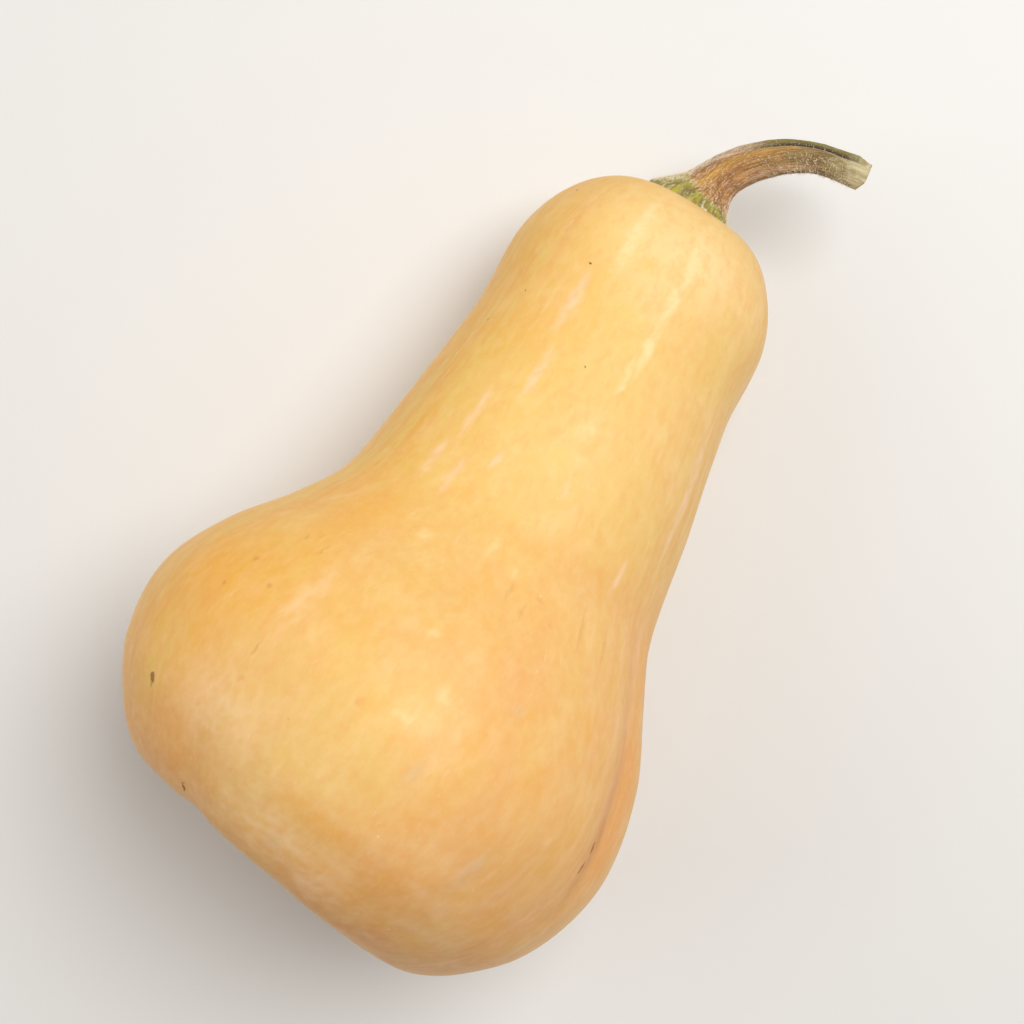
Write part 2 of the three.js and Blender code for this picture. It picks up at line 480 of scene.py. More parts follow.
POLE_CROWDING = 0.55
LEAST_GIRTH = 0.5
CAST_SIZE = 28
CAST_HEIGHT = 0.7
RIPPLE_SIZE = 9
RIPPLE_HEIGHT = 0.12


def fruit_tree(tones):
    """Tree that turns the half outline into the fruit's skin round its bent core."""
    inputs = {"Outline": "geometry", "Rings": "count", "Sides": "count", "Lying Turn": "number"}
    inputs |= {"Bulb Radius": "number", "Flatness": "number", "Unevenness": "number"}
    inputs |= {"Furrow Width": "number", "Skin": "material"}
    tree, given = new_group("GeometryNodeTree", "grown fruit", inputs, {"Geometry": "geometry"})
    skin, row, column = unit_grid(tree, given["Rings"], given["Sides"])
    share = row - sine(row * 360.0) * (POLE_CROWDING / math.tau)
    outline, length = curve_of(tree, given["Outline"])
    at, slope = along_curve(tree, outline, share)
    along, radius, _ = parts_of(at)
    slope_along, slope_out, _ = parts_of(slope)
    angle = column * 360.0 - 180.0
    level, rise = cosine(angle), sine(angle)

    core, forward = core_at(tree, along)
    left = unit(xyz(tree, 0.0, 1.0, 0.0) - forward * parts_of(forward)[1])
    up = cross(forward, left)

    furrow = furrow_depth(along, radius, angle, given["Furrow Width"])
    skin_at = xyz(tree, along, radius * level, radius * rise)
    uneven = (noise(skin_at, CAST_SIZE, detail=1.0) - 0.5) * CAST_HEIGHT
    ripples = (noise(skin_at, RIPPLE_SIZE, detail=1.0) - 0.5) * RIPPLE_HEIGHT
    cast = (uneven + ripples) * given["Unevenness"] * span(radius, 4.0, 30.0)
    full = radius * swell_share(along, angle) + (cast - furrow) * slope_along
    whole = clip(1.0 - along / CORE_LENGTH)
    lean = radius / given["Bulb Radius"] * level * whole * CHEEK_LEAN
    near_stem = span(along / CORE_LENGTH, STEM_END_FROM, 1.0)
    slant = near_stem * radius * rise * STEM_END_SLANT
    point = core + left * (full * level) + up * (full * rise * given["Flatness"])
    point = point + forward * (lean - slant + (furrow - cast) * slope_out)

    run, girth = share * length, larger(radius, LEAST_GIRTH)
    colours = broad_colour(Skin(run, angle, girth), furrow, tones)
    for name, value in (("grown", xyz(tree, run, level, rise)), ("girth", girth), ("tone", colours)):
        skin = store(skin, name, value)
    close_and_finish(skin, laid_down(point, given["Lying Turn"]), given["Skin"])
    return tree


def core_at(tree, along):
    """Point and direction of the core at a distance along it."""
    turn = along * (180 / CORE_LENGTH)
    pitch = math.pi / CORE_LENGTH
    waves = list(enumerate(CORE_BEND, start=1))
    side = total([sine(turn * wave) * size for wave, size in waves])
    drift = total([cosine(turn * wave) * size * wave * pitch for wave, size in waves])
    core = xyz(tree, along, side, sine(turn) * CORE_BOW)
    return core, unit(xyz(tree, 1.0, drift, cosine(turn) * CORE_BOW * pitch))


def swell_share(along, angle):
    """Radius of the skin, as a share of the outline's, with its broad waves."""
    swells = []
    for size, waves, start, drift in SWELLS:
        swells.append(sine(angle * waves + along * (drift / CORE_LENGTH) + start) * size)
    return total(swells) + 1.0


def furrow_depth(along, radius, angle, width):
    """Depth of the furrows and of the waist fold."""
    rim = clip(radius / FURROW_FULL_RADIUS)
    furrows = []
    for at, depth, reach in FURROWS:
        fade = 1.0 - span(along, 0.0, reach)
        furrows.append(bell(turn_between(angle, at), width) * fade * depth)
    at, depth, starts, full, ends = FLANK_FURROW
    reach = span(along, starts, full) * (1.0 - span(along, full, ends))
    flank = bell(turn_between(angle, at), width) * reach * depth
    at, length, fold_angle, spread, depth = FOLD
    fold = bell(along - at, length) * bell(turn_between(angle, fold_angle), spread) * depth
    return total(furrows) * rim * rim + flank + fold


# Shader groups


def streak_group():
    """Streaks that run along the fruit or the stem: their mask."""
    inputs = {"Place": "vector", "Length": "number", "Width": "number", "Share": "number"}
    inputs |= {"Softness": "number"}
    group, given = new_group("ShaderNodeTree", "grown streaks", inputs, {"Mask": "number"})
    run, level, rise = parts_of(given["Place"])
    place = xyz(group, run / given["Length"], level / given["Width"], rise / given["Width"])
    put_out(group, Mask=patches(place, given["Share"], given["Softness"]))
    return group


def speck_group():
    """Round specks strewn over a surface, of uneven size: their mask."""
    inputs = {"Place": "vector", "Spacing": "number", "Size": "number", "Share": "number"}
    group, given = new_group("ShaderNodeTree", "specks", inputs, {"Mask": "number"})
    near = add_node(group, "ShaderNodeTexVoronoi", Vector=given["Place"] / given["Spacing"])
    near.inputs["Scale"].default_value = 1.0
    size_pick, pick, _ = parts_of(Term(near.outputs["Color"]))
    size = given["Size"] / given["Spacing"] * (size_pick * 0.7 + 0.3)
    chosen = combine(group, "LESS_THAN", pick, given["Share"])
    reach = Term(near.outputs["Distance"])
    put_out(group, Mask=(1.0 - span(reach, size * 0.4, size)) * chosen)
    return group


def use_group(tree, group, **inputs):
    """First output of a node group placed in a material."""
    node = add_node(tree, "ShaderNodeGroup", {"node_tree": group}, **inputs)
    return Term(node.outputs[0])


def kept(tree, name, form):
    """Value that the points keep: a Vector, a Color or, as Fac, a number."""
    return Term(add_node(tree, "ShaderNodeAttribute", {"attribute_name": name}).outputs[form])


def bumped(height, distance):
    """Normal of a surface whose height of 1 stands for a distance in millimetres."""
    node = add_node(height.tree, "ShaderNodeBump", Height=height, Distance=distance * MM)
    return Term(node.outputs["Normal"])


def new_material(name):
    """Material with only a principled shader. Returns both."""
    material = bpy.data.materials.new(name)
    material.use_nodes = True
    shader = next(n for n in material.node_tree.nodes if n.type == "BSDF_PRINCIPLED")
    return material, shader


# Skin

# Marks on the skin: run from the blossom scar, angle, length, width
PALE_STREAKS = (
    (259, 77, 31, 3.4),
    (259, 103, 24, 4.2),
    (243, 102, 13, 3),
    (228, 102, 19, 2.3),
    (215, 99, 10, 1.4),
    (107, 12, 18, 1.5),
)
PINK_DASHES = (
    (229, 68, 18, 3),
    (205, 71, 14, 2.2),
    (188, 60, 15, 1.9),
    (172, 57, 13, 2),
    (169, 66, 12, 2.4),
    (178, 75, 5, 2),
    (256, 50, 13, 0.9),
    (169, 128, 9, 1.9),
    (200, 148, 40, 3),
)
ROUND_PATCHES = (
    (198, 96, 4, 3.4),
    (227, 100, 3, 2.4),
    (149, 72, 3.6, 3.6),
    (114, 96, 3.4, 4),
    (105, 93, 2.4, 4.2),
    (125, 88, 2.4, 2.4),
    (153, 96, 3, 2.2),
    (156, 88, 6, 1.6),
)
SCRATCHES = (
    (220, 30, 12, 0.5),
    (198, 36, 7, 0.5),
    (207, 33, 16, 0.4),
    (180, 98, 4, 1.2),
    (172, 128, 3, 0.9),
)
GREEN_LINES = (
    (237, 45, 20, 2.4),
    (221, 46, 15, 2.6),
    (206, 47, 17, 2.6),
    (192, 48, 15, 2.2),
    (249, 87, 6, 6),
    (231, 86, 6, 5),
    (187, 92, 5, 5),
)
HONEY_ZONES = ((111, 44, 26, 24), (143, 55, 34, 14), (89, 37, 18, 9), (128, 25, 30, 10))
PINK_ZONES = ((79, 63, 18, 26), (58, 104, 12, 12), (62, 85, 14, 22), (115, 64, 22, 5))
GREY_ZONES = ((97, 100, 5, 3), (121, 110, 4, 2.4), (61, 89, 5, 4), (88, 122, 12, 5))
BROWN_MARKS = (
    (116, 48, 1.8, 1.6),
    (106, 47, 1.6, 1.2),
    (112, 56, 1.8, 1.2),
    (97, 63, 4.2, 0.8),
    (128, 58, 3.4, 0.6),
    (74, 145, 5, 0.7),
    (129, 52, 2.4, 0.5),
)
ORANGE_SPOTS = ((89, 64, 1.3, 1.4), (102, 85, 2.2, 2.2), (150, 105, 1.6, 2), (146, 110, 1.8, 2))
DARK_DOTS = (
    (241, 67, 0.6, 0.45),
    (217, 36, 0.9, 0.6),
    (212, 84, 0.4, 0.35),
    (228, 47, 0.5, 0.4),
    (268, 34, 1.2, 0.6),
)
CORK_SCARS = (
    (74, 41, 3.6, 1.9),
    (109, 153, 2.6, 1.2),
    (104, 152, 3.2, 1.3),
    (51, 57, 3.6, 0.9),
)
CREASES = ((147, 97, 6, 0.7), (144, 102, 5, 0.8), (151, 119, 12, 0.8), (150, 129, 8, 0.8))

SCAR_RUN = 8
NECK_RUN = 160
SHOULDER_RUN = 262
STREAK_GIRTH = 55.0
PORE_DEPTH = 0.035


class Skin:
    """Places on the skin in a node tree, and masks laid out by them."""

    def __init__(self, run, angle, girth):
        self.tree = run.tree
        self.run = run
        self.angle = angle
        self.girth = girth
        level, rise = cosine(angle), sine(angle)
        self.round = xyz(self.tree, run, level * girth, rise * girth)
        self.straight = xyz(self.tree, run, level * STREAK_GIRTH, rise * STREAK_GIRTH)
        shove = noise(self.round, 3.0, detail=3.0, roughness=0.6) - 0.5
        sway = noise(self.round + 40.0, 2.2, detail=3.0, roughness=0.6) - 0.5
        turn = angle + sway * math.degrees(3.0) / girth
        self.spot = xyz(self.tree, run + shove * 4.0, turn, 0.0)

    def clouds(self, size, share, softness=0.1, stretch=1.6):
        """Soft patches, drawn out along the fruit."""
        across = 1 / size
        place = combine(self.tree, "MULTIPLY", self.round, (across / stretch, across, across))
        return patches(place, share, softness)

    def arcs(self, size, share, softness=0.1):
        """Soft patches, drawn out round the fruit."""
        return self.clouds(size * 4, share, softness, 0.25)

    def streaks(self, length, width, share, softness=0.06):
        """Streaks along the fruit, narrower where it is slim."""
        place = combine(self.tree, "MULTIPLY", self.straight, (1 / length, 1 / width, 1 / width))
        return patches(place, share, softness)

    def marks(self, places, softness):
        """Mask of the marks at these places, with ragged edges."""
        masks = []
        for run, angle, length, width in places:
            ahead = 2 / length
            aside = 2 * math.radians(1) * outline_radius(run) / width
            offset = (-run * ahead, -angle * aside, 0.0)
            spot = combine(self.tree, "MULTIPLY_ADD", self.spot, (ahead, aside, 0.0), offset)
            reach = combine(self.tree, "LENGTH", spot, result=1)
            masks.append(1.0 - span(reach, 1.0 - softness, 1.0 + softness))
        result, *others = masks
        for mask in others:
            result = larger(result, mask)
        return result

    def near(self, run, reach, angle, spread):
        """Large soft zone round a place."""
        turn = turn_between(self.angle, angle)
        return bell(self.run - run, reach) * bell(turn, spread)

    def side(self, angle, spread):
        """Large soft zone along one side, whose edge wanders."""
        wander = (noise(self.round, 38.0, detail=2.0) - 0.5) * 50.0
        return bell(turn_between(self.angle + wander, angle), spread)


def outline_radius(run):
    """Radius of the outline at a run along it."""
    points = np.array(smooth_line(OUTLINE, OUTLINE_STEPS))
    steps = np.linalg.norm(np.diff(points, axis=0), axis=1)
    return float(np.interp(run, np.concatenate([[0], np.cumsum(steps)]), points[:, 1]))


def broad_colour(skin, furrow, tones):
    """Colour of the skin without its fine marks."""
    colour = zone_colour(skin, tones)
    colour = clouded(skin, tones, colour)
    colour = banded(skin, tones, colour)
    # Painted shade: the furrows and the waist fold are tinted rust, more the deeper they are.
    colour = mixed(clip(furrow * 0.25), colour, tones.rust)
    # Thin cork-brown line down the bottom of the flank furrow: partly the skin's own corky line,
    # partly painted shade in the crease.
    flank = bell(turn_between(skin.angle, FLANK_FURROW[0]), 2.0) * bell(skin.run - 110.0, 17.0)
    colour = mixed(flank * 0.32, colour, tones.cork)
    groups = skin.clouds(26, 0.42, 0.08, 2.5)
    dashes = skin.streaks(12.0, 2.6, 0.36, 0.06) * groups
    colour = mixed(dashes * 0.35, colour, tones.cream)
    layers = (
        (HONEY_ZONES, 0.8, 0.62, tones.honey),
        (PINK_ZONES, 0.8, 0.5, tones.fleck),
        (GREY_ZONES, 0.8, 0.35, tones.grey),
        (GREEN_LINES, 0.8, 0.75, tones.green),
        (PALE_STREAKS, 0.6, 0.85, tones.cream),
        (PINK_DASHES, 0.6, 0.85, tones.fleck),
        (ROUND_PATCHES, 0.7, 0.5, tones.cream),
    )
    for places, softness, strength, tone in layers:
        uneven = skin.clouds(2.4, 0.55, 0.14) * 0.75 + 0.25
        colour = mixed(skin.marks(places, softness) * uneven * strength, colour, tone)
    return colour


def zone_colour(skin, tones):
    """Straw neck, peach bulb, honey left flank, tan right flank, rusty blossom end."""
    wander = (noise(skin.round, 45.0, detail=2.0) - 0.5) * 50.0
    run = skin.run + wander
    bulb = 1.0 - span(run, 125.0, NECK_RUN + 30.0)
    colour = mixed(bulb, tones.straw, tones.peach)
    right = skin.side(178, 42)
    colour = mixed(right * (bulb * 0.6 + 0.4), colour, tones.tan)
    left = skin.side(15, 46) * span(run, 30.0, 75.0)
    colour = mixed(left, colour, tones.honey)
    rusty = 1.0 - bell(turn_between(skin.angle, 55.0), 45.0) * 0.65
    colour = mixed((1.0 - span(run, 35.0, 105.0)) * rusty * 0.85, colour, tones.rust)
    rim = (1.0 - span(skin.run, 50.0, 82.0)) * 0.35
    colour = mixed(rim, colour, tones.bruise)
    cheek = skin.near(88, 34, 80, 20)
    colour = mixed(cheek * 0.7, colour, tones.green)
    colour = mixed(cheek * 0.16, colour, tones.grey)
    # Painted highlight: a cream patch on the top of the shoulder, where the light falls brightest.
    pale = skin.near(SHOULDER_RUN, 16, 97, 34)
    colour = mixed(pale * 0.8, colour, tones.cream)
    ground = skin.side(-88, 36) * span(skin.run, 60.0, 110.0)
    return mixed(ground * 0.45, colour, tones.cream)


def clouded(skin, tones, colour):
    """Faint clouds of every tone, as of watercolour, quieter on the neck."""
    bulb = 1.0 - span(skin.run, 120.0, NECK_RUN) * 0.65
    colour = mixed(skin.clouds(24, 0.5, 0.16) * 0.4, colour, tones.green)
    colour = mixed(skin.clouds(17, 0.46, 0.14) * bulb * 0.35, colour, tones.peach)
    colour = mixed(skin.clouds(11, 0.44, 0.12) * bulb * 0.3, colour, tones.honey)
    colour = mixed(skin.clouds(7, 0.42, 0.1) * 0.2, colour, tones.cream)
    left = bell(turn_between(skin.angle, 50.0), 48.0)
    low = (1.0 - span(skin.run, 55.0, 120.0)) * (1.0 - left * 0.75)
    colour = mixed(skin.arcs(9, 0.46, 0.1) * low * 0.35, colour, tones.rust)
    colour = mixed(skin.arcs(5, 0.42, 0.1) * low * 0.4, colour, tones.fleck)
    colour = mixed(skin.arcs(3.4, 0.4, 0.08) * low * 0.4, colour, tones.tan)
    return mixed(skin.arcs(2.6, 0.3, 0.06) * low * 0.3, colour, tones.bruise)


def banded(skin, tones, colour):
    """Long bands down both flanks: yellow on the left, tan and pinkish on the right."""
    left = bell(turn_between(skin.angle, 25.0), 34.0) * span(skin.run, 50.0, 85.0)
    colour = mixed(skin.streaks(60.0, 6.5, 0.44, 0.06) * left * 0.6, colour, tones.green)
    colour = mixed(skin.streaks(45.0, 4.0, 0.4, 0.05) * left * 0.5, colour, tones.rust)
    right = bell(turn_between(skin.angle, 168.0), 36.0)
    colour = mixed(skin.streaks(55.0, 4.5, 0.46, 0.08) * right * 0.35, colour, tones.rust)
    return mixed(skin.streaks(38.0, 3.0, 0.42, 0.06) * right * 0.4, colour, tones.fleck)


def skin_material(tones, groups):
    """Waxy skin: the broad colours with fine flecks, pores and corky marks."""
    material, shader = new_material("squash skin")
    tree = material.node_tree
    run, level, rise = parts_of(kept(tree, "grown", "Vector"))
    angle = combine(tree, "ARCTAN2", rise, level) * math.degrees(1)
    skin = Skin(run, angle, kept(tree, "girth", "Fac"))
    cork, ring = blossom_scar(skin)
    scars = skin.marks(CORK_SCARS, 0.3)
    grain = noise(skin.round, 0.9, detail=2.0)
    colour = fine_colour(skin, tones, kept(tree, "tone", "Color"), groups)
    colour = mixed(ring * 0.42, colour, tones.grey)
    colour = mixed(larger(cork * (grain + 0.3), scars * 0.85), colour, tones.cork)
    plug(colour, shader.inputs["Base Color"])
    plug(larger(cork, scars) * 0.3 + 0.49, shader.inputs["Roughness"])

    pores = use_group(tree, groups["specks"], Place=skin.round, Spacing=1.3, Size=0.34, Share=0.6)
    sunk = pores * 0.5 + skin.marks(CREASES, 0.6) * 2.0 - scars * 2.0 - cork * grain * 8.0
    plug(bumped(grain - sunk, PORE_DEPTH), shader.inputs["Normal"])
    shader.inputs["Specular IOR Level"].default_value = 0.28
    shader.inputs["Sheen Weight"].default_value = 0.2
    shader.inputs["Sheen Roughness"].default_value = 0.25
    shader.inputs["Sheen Tint"].default_value = (1, 0.78, 0.48, 1)
    shader.inputs["Subsurface Weight"].default_value = 0.08
    shader.inputs["Subsurface Radius"].default_value = (1.0, 0.5, 0.2)
    shader.inputs["Subsurface Scale"].default_value = 0.003
    return material


def fine_colour(skin, tones, colour, groups):
    """Small clouds, flecks, specks and marks on the broad colours."""
    colour = mixed(skin.clouds(3.2, 0.44, 0.1) * 0.25, colour, tones.tan)
    colour = mixed(skin.clouds(2.4, 0.48, 0.18) * 0.15, colour, tones.cream)
    flecks = use_group(
        skin.tree,
        groups["streaks"],
        Place=skin.straight,
        Length=5.0,
        Width=1.1,
        Share=0.33,
        Softness=0.06,
    )
    colour = mixed(flecks * 0.28, colour, tones.fleck)
    layers = (
        (SCRATCHES, 0.7, 0.5, tones.fleck),
        (ORANGE_SPOTS, 0.8, 0.5, tones.rust),
        (BROWN_MARKS, 0.9, 0.4, tones.bruise),
        (CREASES, 0.9, 0.18, tones.bruise),
        (DARK_DOTS, 0.4, 0.9, tones.dark),
    )
    for places, softness, strength, tone in layers:
        colour = mixed(skin.marks(places, softness) * strength, colour, tone)
    for spacing, size, share, tone in ((9.0, 0.5, 0.5, tones.cream), (14.0, 0.4, 0.4, tones.cork)):
        specks = use_group(
            skin.tree, groups["specks"], Place=skin.round, Spacing=spacing, Size=size, Share=share
        )
        colour = mixed(specks * 0.5, colour, tone)
    return colour


def blossom_scar(skin):
    """Masks of the corky scar at the blossom end and of the pale ring round it, both ragged."""
    reach = skin.run + noise(skin.round, 1.8, detail=3.0) * 4.0
    scar = 1.0 - span(reach, SCAR_RUN - 1.5, SCAR_RUN + 1.5)
    return scar, bell(reach - (SCAR_RUN + 2.0), 2.0)


# Stem

BARK_SHARE = 0.9
FIBRE_HEIGHT = 0.12
UPPER_RIB = 8
UPPER_RIB_SPREAD = 33
RIDGE_EDGE = 60
COLLAR_END = 8.5


def stem_tree(tones):
    """Tree that turns the stem's line into its ribbed bark and its cut."""
    inputs = {"Line": "geometry", "Rings": "count", "Sides": "count", "Lying Turn": "number"}
    inputs |= {"Radius": "number", "Collar Radius": "number", "Roughness": "number"}
    inputs |= {"Bark": "material"}
    tree, given = new_group("GeometryNodeTree", "ribbed stem", inputs, {"Geometry": "geometry"})
    bark, row, column = unit_grid(tree, given["Rings"], given["Sides"])
    share = clip(row / BARK_SHARE)
    face = clip((row - BARK_SHARE) / (1 - BARK_SHARE))
    angle = column * 360.0
    line, length = curve_of(tree, given["Line"])

    shorts = []
    for at, short, spread in CUT_STEPS:
        offset = turn_between(angle, at) / spread
        shorts.append(combine(tree, "EXPONENT", offset * offset * offset * offset * -1.0) * short)
    run = share * length - total(shorts) * share ** 8.0
    point, forward = along_curve(tree, line, run / length)
    outer = unit(cross(xyz(tree, 0.0, 0.0, 1.0), forward))
    up = cross(forward, outer)

    distance = run - ROOT_DEPTH
    reach = larger(distance, 0.0) / (length - ROOT_DEPTH)
    rib = angle - reach * reach * STEM_TWIST
    radius, furrow = stem_radius(distance, reach, rib, given)
    level, rise = cosine(angle), sine(angle)
    along = xyz(tree, run / 9.0, level * 5.0, rise * 5.0)
    fibres = noise(along, 1.0, detail=3.0) - 0.5
    lumps = noise(xyz(tree, run / 3.6, level * 3.6, rise * 3.6), 1.0, detail=2.0) - 0.5
    near_collar = bell(larger(distance - 3.0, 0.0), 5.0)
    relief = (fibres * 0.9 + lumps * near_collar * 2.8) * given["Roughness"]
    bare = clip(row * given["Rings"])
    rim = 1.0 - face
    full = (radius + relief) * combine(tree, "POWER", rim, 0.8) * bare
    hollow = (1.0 - rim * rim) * CUT_HOLLOW
    point = point + outer * (full * level) + up * (full * rise) - forward * hollow

    bark = store(bark, "grown", xyz(tree, distance, level, rise))
    bark = store(bark, "reach", reach)
    bark = store(bark, "hairy", hairiness(distance, reach, rib, face))
    bark = store(bark, "growth", laid_down(forward, given["Lying Turn"]))
    bark = store(bark, "tone", bark_colour(distance, reach, rib, face, furrow, tones))
    close_and_finish(bark, laid_down(point, given["Lying Turn"]), given["Bark"])
    return tree


def stem_radius(distance, reach, rib, given):
    """Radius of the bark at a distance from the skin, and the depth of its deepest furrow."""
    out = larger(distance, 0.0)
    flare = combine(rib.tree, "EXPONENT", (out / COLLAR_LENGTH) ** COLLAR_ROUNDING * -1.0)
    flared = bell(1.0 - reach, CUT_FLARE_LENGTH) * CUT_FLARE
    stalk = given["Radius"] * (1.0 - reach * STEM_TAPER + flared)
    plain = stalk + (given["Collar Radius"] - stalk) * flare
    furrows = []
    for at, depth, width, starts, full in STEM_FURROWS:
        fade = span(distance, starts, full)
        furrows.append(bell(turn_between(rib, at), width) * fade * depth)
    return plain - total(furrows) * plain / given["Radius"], furrows[0]


def upper_rib(rib):
    """Mask of the rib on the outer side of the bend."""
    offset = combine(rib.tree, "ABSOLUTE", turn_between(rib, UPPER_RIB))
    return 1.0 - span(offset, UPPER_RIB_SPREAD - 6.0, UPPER_RIB_SPREAD + 6.0)


def bark_colour(distance, reach, rib, face, furrow, tones):
    """Green collar, ochre bark that turns khaki, silvery then olive upper rib, pale cut."""
    tree = distance.tree
    level, rise = cosine(rib), sine(rib)
    along = xyz(tree, distance / 8.0, level * 4.5, rise * 4.5)
    blotch = patches(xyz(tree, distance / 3.0, level * 2.2, rise * 2.2), 0.5, 0.15)
    outer = span(reach + (blotch - 0.5) * 0.16, 0.3, 0.72)
    colour = mixed(outer, tones.ochre, tones.khaki)
    colour = mixed(patches(along, 0.5, 0.15) * 0.5, colour, tones.brown)
    inner = bell(turn_between(rib, 150), 16.0) * span(reach, 0.25, 0.45)
    colour = mixed(inner * (1.0 - span(reach, 0.6, 0.85)) * 0.8, colour, tones.pink)
    colour = mixed(patches(along * 2.3, 0.38, 0.08) * (1.0 - outer * 0.5) * 0.7, colour, tones.pink)
    golden = bell(turn_between(rib, RIDGE_EDGE + 14), 14.0) * (1.0 - span(reach, 0.45, 0.8))
    colour = mixed(golden * 0.8, colour, tones.gold)
    lobe = upper_rib(rib)
    near_cut = span(reach, 0.36, 0.55)
    colour = mixed(lobe * near_cut * 0.85, colour, tones.olive)
    colour = mixed(lobe * (1.0 - near_cut) * 0.5, colour, tones.hair)
    # Painted highlight: a thin pale line along the edge of the ridge beside the deep furrow.
    edge = bell(turn_between(rib, RIDGE_EDGE + 2), 3.0) * span(reach, 0.4, 0.6)
    # Painted shade: the bottom of the deep furrow turns dark by its depth.
    colour = mixed(clip(furrow * 0.6) * span(reach, 0.4, 0.6), colour, tones.dark)
    colour = mixed(edge * 0.7, colour, tones.cut)
    husk = span(reach + (blotch - 0.5) * 0.1, 0.78, 0.98) * (1.0 - lobe * 0.7)
    colour = mixed(husk * 0.8, colour, tones.husk)
    ragged = (noise(along * 3.0, 1.0, detail=3.0) - 0.5) * 5.0
    wide = bell(turn_between(rib, 20), 40.0) * 2.0
    collar = 1.0 - span(distance + ragged - wide, COLLAR_END - 0.6, COLLAR_END + 0.6)
    stripes = xyz(tree, distance / 6.0, level * 10.0, rise * 10.0)
    green = mixed(patches(stripes * 0.5, 0.5, 0.12), tones.collar, tones.olive)
    green = mixed(patches(stripes, 0.38, 0.05) * 0.9, green, tones.cut)
    colour = mixed(collar, colour, green)
    grain = patches(xyz(tree, face * 4.0, level * 3.0, rise * 3.0), 0.5, 0.2)
    pith = mixed(grain * 0.6, tones.husk, tones.cut)
    pith = mixed(lobe * 0.7, pith, tones.khaki)
    return mixed(span(face, 0.0, 0.08), colour, pith)


def hairiness(distance, reach, rib, face):
    """Share of the bristles that grow at a place: most on the outer rib, none on the cut."""
    band = upper_rib(rib) * (1.0 - span(reach, 0.45, 0.7))
    bare = 1.0 - span(distance + band * 5.0, COLLAR_END - 2.0, COLLAR_END)
    on_bark = (1.0 - bare * 0.92) * (1.0 - span(face, 0.0, 0.1))
    thinning = 1.0 - span(reach, 0.35, 0.6) * 0.35
    return on_bark * (band * 0.6 + 0.4) * thinning * (1.0 - span(reach, 0.88, 0.99))


def bark_material(tones, groups):
    """Dry bark with fine fibres."""
    material, shader = new_material("dry stem")
    tree = material.node_tree
    run, level, rise = parts_of(kept(tree, "grown", "Vector"))
    straight = xyz(tree, run, level * 5.5, rise * 5.5)
    fibres = use_group(
        tree, groups["streaks"], Place=straight, Length=4.0, Width=0.5, Share=0.48, Softness=0.1
    )
    down = use_group(
        tree, groups["streaks"], Place=straight, Length=0.8, Width=0.3, Share=0.36, Softness=0.08
    )
    bark = 1.0 - span(kept(tree, "reach", "Fac"), 0.75, 0.95) * 0.7
    colour = mixed(fibres * bark * 0.5, kept(tree, "tone", "Color"), tones.brown)
    colour = mixed(down * bark * 0.35, colour, tones.hair)
    plug(colour, shader.inputs["Base Color"])
    shader.inputs["Roughness"].default_value = 0.72
    plug(bumped(fibres + noise(straight, 0.4), FIBRE_HEIGHT), shader.inputs["Normal"])
    return material


# Bristles


def bristle_tree():
    """Tree that sets short bristles on the bark, lying near the neck and upright further out."""
    inputs = {"Stem": "geometry", "Per Square Millimetre": "number", "Length": "number"}
    inputs |= {"Thickness": "number", "Seed": "count", "Hair": "material"}
    tree, given = new_group("GeometryNodeTree", "bristles", inputs, {"Geometry": "geometry"})
    spread = add_node(tree, "GeometryNodeDistributePointsOnFaces", Mesh=given["Stem"])
    hairy = named_value(tree, "hairy", "FLOAT")
    plug(given["Per Square Millimetre"] * (1 / MM**2) * hairy, spread.inputs["Density"])
    plug(given["Seed"], spread.inputs["Seed"])

    normal = Term(spread.outputs["Normal"])
    growth = named_value(tree, "growth", "FLOAT_VECTOR")
    inner = cross(growth, (0.0, 0.0, 1.0))
    lying = 1.0 - span(named_value(tree, "reach", "FLOAT"), 0.35, 0.65)
    stray = random_vector(tree, 1) * 0.6
    aim = normal * 0.6 + growth * (lying * 0.8) + inner * (0.8 - lying * 0.8) + stray
    turned = add_node(tree, "FunctionNodeAlignRotationToVector", {"axis": "Z"}, Vector=aim)
    hair = add_node(tree, "GeometryNodeMeshCone", Vertices=3, Radius_Top=0.0)
    hair.inputs["Radius Bottom"].default_value = 1.0
    hair.inputs["Depth"].default_value = 1.0
    thick = given["Thickness"] * (MM / 2)
    long = given["Length"] * MM * random_number(tree, 0.4, 1.6, 2)
    placed = add_node(
        tree,
        "GeometryNodeInstanceOnPoints",
        Points=Term(spread.outputs["Points"]),
        Instance=Term(hair.outputs["Mesh"]),
        Rotation=Term(turned.outputs[0]),
        Scale=xyz(tree, thick, thick, long),
    )
    real = add_node(tree, "GeometryNodeRealizeInstances", Geometry=Term(placed.outputs[0]))
    done = add_node(tree, "GeometryNodeSetMaterial", Geometry=Term(real.outputs[0]))
    plug(given["Hair"], done.inputs["Material"])
    put_out(tree, Geometry=Term(done.outputs[0]))
    return tree


def named_value(tree, name, kind):
    node = add_node(tree, "GeometryNodeInputNamedAttribute", {"data_type": kind}, Name=name)
    return Term(node.outputs["Attribute"])


def random_vector(tree, seed):
    node = add_node(tree, "FunctionNodeRandomValue", {"data_type": "FLOAT_VECTOR"})
    node.inputs[0].default_value = (-1, -1, -1)
    node.inputs[1].default_value = (1, 1, 1)
    node.inputs["Seed"].default_value = seed
    return Term(node.outputs[0])


def random_number(tree, low, high, seed):
    node = add_node(tree, "FunctionNodeRandomValue", {"data_type": "FLOAT"})
    node.inputs[2].default_value = low
    node.inputs[3].default_value = high
    node.inputs["Seed"].default_value = seed
    return Term(node.outputs[1])


def bristle_material(settings):
    material, shader = new_material("bristles")
    plug(settings.hair, shader.inputs["Base Color"])
    shader.inputs["Roughness"].default_value = 0.5
    return material


# Stage

CAMERA_PLACE = (-0.00981, 0.00127)
CAMERA_HEIGHT = 0.4994
CAMERA_LENS = 55.59
CAMERA_ROLL = -57.254
FLOOR_SIZE = 30


